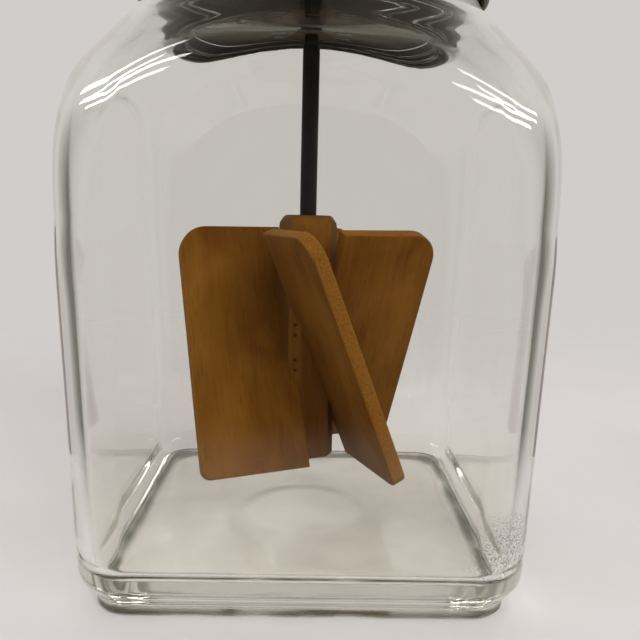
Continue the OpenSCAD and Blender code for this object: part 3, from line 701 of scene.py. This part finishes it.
def paint_nodes():
    finish = {"glass": GLASS, "rubber": RUBBER, "tin": TIN, "iron": IRON, "steel": STEEL, "brass": BRASS,
              "handle_wood": HANDLE_WOOD, "dasher_wood": DASHER_WOOD}
    for part in frame["record"]["subparts"]:
        data = frame["nodes"][part["node"]].data
        data.materials.clear()
        data.materials.append(finish[part["material_slot"]])
    for node, material in (("dasher_shaft", ROD), ("blade_nails", NAIL), ("crank_knob", KNOB_WOOD)):
        frame["nodes"][node].data.materials[0] = material


def make_camera():
    pitch, roll, yaw = (math.radians(a) for a in (CAMERA_PITCH, CAMERA_ROLL, CAMERA_YAW))
    right = Vector((math.cos(yaw), math.sin(yaw), 0))
    level = Vector((-math.sin(yaw), math.cos(yaw), 0))
    ahead = level * math.cos(pitch) - Vector((0, 0, math.sin(pitch)))
    down = -level * math.sin(pitch) - Vector((0, 0, math.cos(pitch)))
    x = right * math.cos(roll) - down * math.sin(roll)
    y = -(right * math.sin(roll) + down * math.cos(roll))
    axes = Matrix((x, y, -ahead)).transposed().to_4x4()
    camera = bpy.data.objects.new("camera", bpy.data.cameras.new("camera"))
    camera.data.lens = CAMERA_LENS
    camera.data.clip_start = CAMERA_NEAR * MM
    camera.matrix_world = Matrix.Translation(Vector(CAMERA_AT) * MM) @ axes
    bpy.context.scene.collection.objects.link(camera)
    bpy.context.scene.camera = camera


def make_floor():
    """Pale paper that fades into the background, and sooner in what is mirrored once."""
    paint = Paint("floor_paper", Roughness=0.7)
    paint.set("Base Color", paint.mix(paint.noise(14, 4), colour("d2cccb"), colour("d9d4d3")))
    reach = paint.vector("LENGTH", paint.coords)
    mirrored = paint.mirrored_once(paint.node("LightPath"))
    fade = paint.math("MAXIMUM", paint.spread(reach, *PAPER_FADE),
                      paint.math("MULTIPLY", mirrored, paint.spread(reach, *PAPER_MIRROR_FADE)))
    clear = paint.node("BsdfTransparent")
    paint.feed(paint.output.inputs["Surface"], paint.blend(fade, paint.shader.outputs[0], clear.outputs[0]))
    corners = [(x * PAPER_HALF, y * PAPER_HALF, PAPER_Z) for x, y in ((-1, -1), (1, -1), (1, 1), (-1, 1))]
    floor = build_object("floor", corners, [(0, 1, 2, 3)], paint.material, False)


def make_world():
    """A pale wall for what is seen, dark to the sides and above in the glass; soft light from above for the rest."""
    world = bpy.data.worlds.new("studio")
    world.use_nodes = True
    bpy.context.scene.world = world
    sky = Nodes(world.node_tree)
    path = sky.node("LightPath")
    camera, glossy, through = (path.outputs[f"Is {kind} Ray"] for kind in ("Camera", "Glossy", "Transmission"))
    heading = sky.node("TexCoord").outputs["Generated"]
    x, y, z = sky.parts(heading)
    # What is mirrored once towards the viewer is the dim room in front of the object
    room = sky.math("MULTIPLY", sky.mirrored_once(path), sky.spread(y, -0.25, 0.0, 1.0, 0.0))
    seen = sky.math("MAXIMUM", camera, sky.math("SUBTRACT", sky.math("MAXIMUM", through, glossy), room))
    aside = sky.math("MULTIPLY", sky.spread(sky.math("ABSOLUTE", x), 0.7, 0.9), sky.spread(y, -0.1, 0.15))
    dark = sky.math("MAXIMUM", aside, sky.spread(z, 0.5, 0.8))
    dark = sky.math("MULTIPLY", dark, sky.spread(camera, 1.0, 0.0))
    wall = sky.mix(dark, colour("d0cdcb"), colour("66645a"))
    above = sky.vector("DOT_PRODUCT", heading, (0, 0.5, 0.8))
    light = sky.math("MULTIPLY", sky.spread(above, -0.2, 0.9, 0.03, 0.75), sky.spread(glossy, 0.0, 1.0, 1.0, 0.4))
    sky.feed(sky.tree.nodes["Background"].inputs["Color"], sky.mix(seen, light, wall))


def add_lamp(name, size, power, place):
    data = bpy.data.lights.new(name, "AREA")
    data.shape = "RECTANGLE"
    data.size, data.size_y = size
    data.energy = power
    lamp = bpy.data.objects.new(name, data)
    lamp.matrix_world = place
    bpy.context.scene.collection.objects.link(lamp)
    return lamp


def make_lamps():
    for i, ends in enumerate(TUBES):
        start, end = (Vector((*spot, TUBE_Z)) for spot in ends)
        middle = (start + end) / 2
        along = (end - start).normalized()
        across = along.cross((middle - Vector(TUBE_AIM)).normalized()).normalized()
        axes = Matrix((across, along, across.cross(along))).transposed().to_4x4()
        add_lamp(f"tube_{i + 1}", (TUBE_W, (end - start).length), TUBE_POWER, Matrix.Translation(middle) @ axes)
    axes = (Vector(FILL_PLACE) - Vector(FILL_AIM)).to_track_quat("Z", "Y").to_matrix().to_4x4()
    fill = add_lamp("fill", FILL_SIZE, FILL_POWER, Matrix.Translation(FILL_PLACE) @ axes)
    fill.visible_glossy = fill.visible_transmission = False


def make_light():
    scene = bpy.context.scene
    scene.view_settings.view_transform = "Standard"
    scene.cycles.max_bounces = scene.cycles.transmission_bounces = scene.cycles.glossy_bounces = BOUNCES
    scene.cycles.transparent_max_bounces = CLEAR_BOUNCES
    make_world()
    make_lamps()


make_camera()
paint_nodes()
make_jar()
make_dasher()
make_lid_trim()
soften_edges()
make_floor()
make_light()

bpy.context.view_layer.update()
